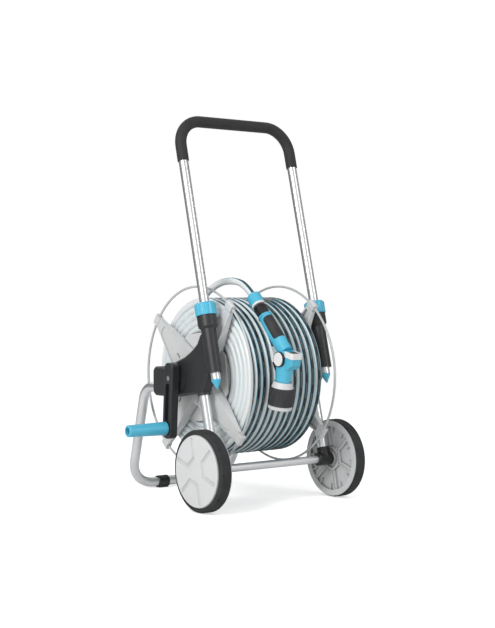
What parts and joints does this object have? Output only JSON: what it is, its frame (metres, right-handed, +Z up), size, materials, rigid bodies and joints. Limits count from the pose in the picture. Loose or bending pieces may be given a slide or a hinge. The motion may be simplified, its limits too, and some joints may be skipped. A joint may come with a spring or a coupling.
{
  "type": "garden hose reel cart",
  "caption": "Two-wheeled garden hose cart with a telescopic handle, a crank-wound drum of hose between wire flanges, a rear stand and a spray gun.",
  "frame": {"origin": "ground level, at the middle of the cart's plan without the hose and spray gun", "axes": "+Z up, +Y towards the rear stand, X along the axle with the crank at -X"},
  "size_m": [0.5634, 0.5847, 0.9763],
  "materials": {
    "aluminium": "bright drawn tube",
    "steel": "zinc plated",
    "coated_wire": "powder coated wire",
    "dark_grey_plastic": "fine textured",
    "black_plastic": "satin",
    "blue_plastic": "satin gloss",
    "light_grey_plastic": "fine textured",
    "white_plastic": "satin",
    "tyre_rubber": "matt",
    "seal_rubber": "matt",
    "soft_insert": "soft touch",
    "foam_grip": "fine foam",
    "hose": "smooth, with dark stripes"
  },
  "bodies": {
    "frame": {"axle_tube": "aluminium", "axle_rod": "steel", "axle_clips": "steel", "left_t_connector": "black_plastic", "right_t_connector": "black_plastic", "left_leg": "aluminium", "right_leg": "aluminium", "left_bracket": "dark_grey_plastic", "right_bracket": "dark_grey_plastic", "left_hub_bush": "black_plastic", "right_hub_bush": "black_plastic", "foot_tube": "aluminium", "left_foot_pad": "black_plastic", "right_foot_pad": "black_plastic", "bracket_screws": "steel", "handle_collets": "white_plastic", "inlet_fitting": "black_plastic", "inlet_seal": "seal_rubber", "free_hose": "hose", "gun_body": "blue_plastic", "gun_insert": "soft_insert", "gun_dial_ring": "black_plastic", "gun_inlet_ring": "blue_plastic", "gun_trim": "white_plastic", "connector_body": "black_plastic", "connector_ring": "white_plastic", "hose_nut": "blue_plastic"},
    "left_wheel": {"left_wheel_rim": "light_grey_plastic", "left_wheel_cover": "light_grey_plastic", "left_tyre": "tyre_rubber"},
    "right_wheel": {"right_wheel_rim": "light_grey_plastic", "right_wheel_cover": "light_grey_plastic", "right_tyre": "tyre_rubber"},
    "drum": {"left_drum_flange": "light_grey_plastic", "right_drum_flange": "light_grey_plastic", "left_flange_ring": "coated_wire", "right_flange_ring": "coated_wire", "drum_barrel": "light_grey_plastic", "hub_shaft": "aluminium", "water_elbow": "black_plastic", "drum_screws": "steel", "hose_coil": "hose", "crank_arm": "dark_grey_plastic", "crank_screw": "steel", "crank_pin": "steel"},
    "crank_knob": {"crank_knob": "blue_plastic"},
    "handle": {"handle_tube": "aluminium", "handle_grip": "foam_grip", "left_tube_tip": "blue_plastic", "right_tube_tip": "blue_plastic"},
    "left_lock": {"left_lock_nut": "blue_plastic"},
    "right_lock": {"right_lock_nut": "blue_plastic"},
    "trigger": {"gun_trigger": "black_plastic"},
    "lever": {"gun_lever": "black_plastic"},
    "dial": {"gun_dial": "white_plastic"},
    "nozzle": {"nozzle_collar": "light_grey_plastic", "nozzle_bumper": "soft_insert", "nozzle_face": "light_grey_plastic"},
    "connector_release": {"connector_sleeve": "black_plastic"}
  },
  "joints": [
    {"name": "left_wheel_spin", "type": "hinge", "parent": "frame", "child": "left_wheel", "pos_m": [-0.16025, -0.159, 0.1], "axis": [1, 0, 0], "continuous": true},
    {"name": "right_wheel_spin", "type": "hinge", "parent": "frame", "child": "right_wheel", "pos_m": [0.26175, -0.159, 0.1], "axis": [1, 0, 0], "continuous": true},
    {"name": "drum_spin", "type": "hinge", "parent": "frame", "child": "drum", "pos_m": [0.05075, -0.022, 0.316], "axis": [1, 0, 0], "continuous": true},
    {"name": "crank_knob_spin", "type": "hinge", "parent": "drum", "child": "crank_knob", "pos_m": [-0.21925, -0.01437, 0.19123], "axis": [1, 0, 0], "continuous": true},
    {"name": "handle_slide", "type": "slide", "parent": "frame", "child": "handle", "axis": [0, 0.2504, 0.9681], "range_m": [-0.28, 0]},
    {"name": "left_lock_turn", "type": "hinge", "parent": "frame", "child": "left_lock", "pos_m": [-0.12275, -0.11899, 0.48835], "axis": [0, 0.2504, 0.9681], "range_deg": [0, 150]},
    {"name": "right_lock_turn", "type": "hinge", "parent": "frame", "child": "right_lock", "pos_m": [0.22425, -0.11899, 0.48835], "axis": [0, 0.2504, 0.9681], "range_deg": [0, 150]},
    {"name": "trigger_squeeze", "type": "hinge", "parent": "frame", "child": "trigger", "pos_m": [-0.00025, -0.24978, 0.34446], "axis": [1, 0, 0], "range_deg": [0, 8], "stiffness_Nm_per_rad": 0.25, "springref_deg": -5.73},
    {"name": "lever_press", "type": "slide", "parent": "frame", "child": "lever", "axis": [0, 0.9816, 0.1908], "range_m": [0, 0.003], "stiffness_N_per_m": 300, "springref_m": -0.001},
    {"name": "flow_dial_turn", "type": "hinge", "parent": "frame", "child": "dial", "pos_m": [-0.02025, -0.28024, 0.37012], "axis": [1, 0, 0], "range_deg": [-90, 90]},
    {"name": "nozzle_turn", "type": "hinge", "parent": "frame", "child": "nozzle", "pos_m": [-0.00025, -0.2623, 0.27784], "axis": [0, -0.1908, 0.9816], "continuous": true},
    {"name": "connector_release_slide", "type": "slide", "parent": "frame", "child": "connector_release", "axis": [0, 0.6947, 0.7193], "range_m": [0, 0.003], "stiffness_N_per_m": 600, "springref_m": -0.002}
  ]
}
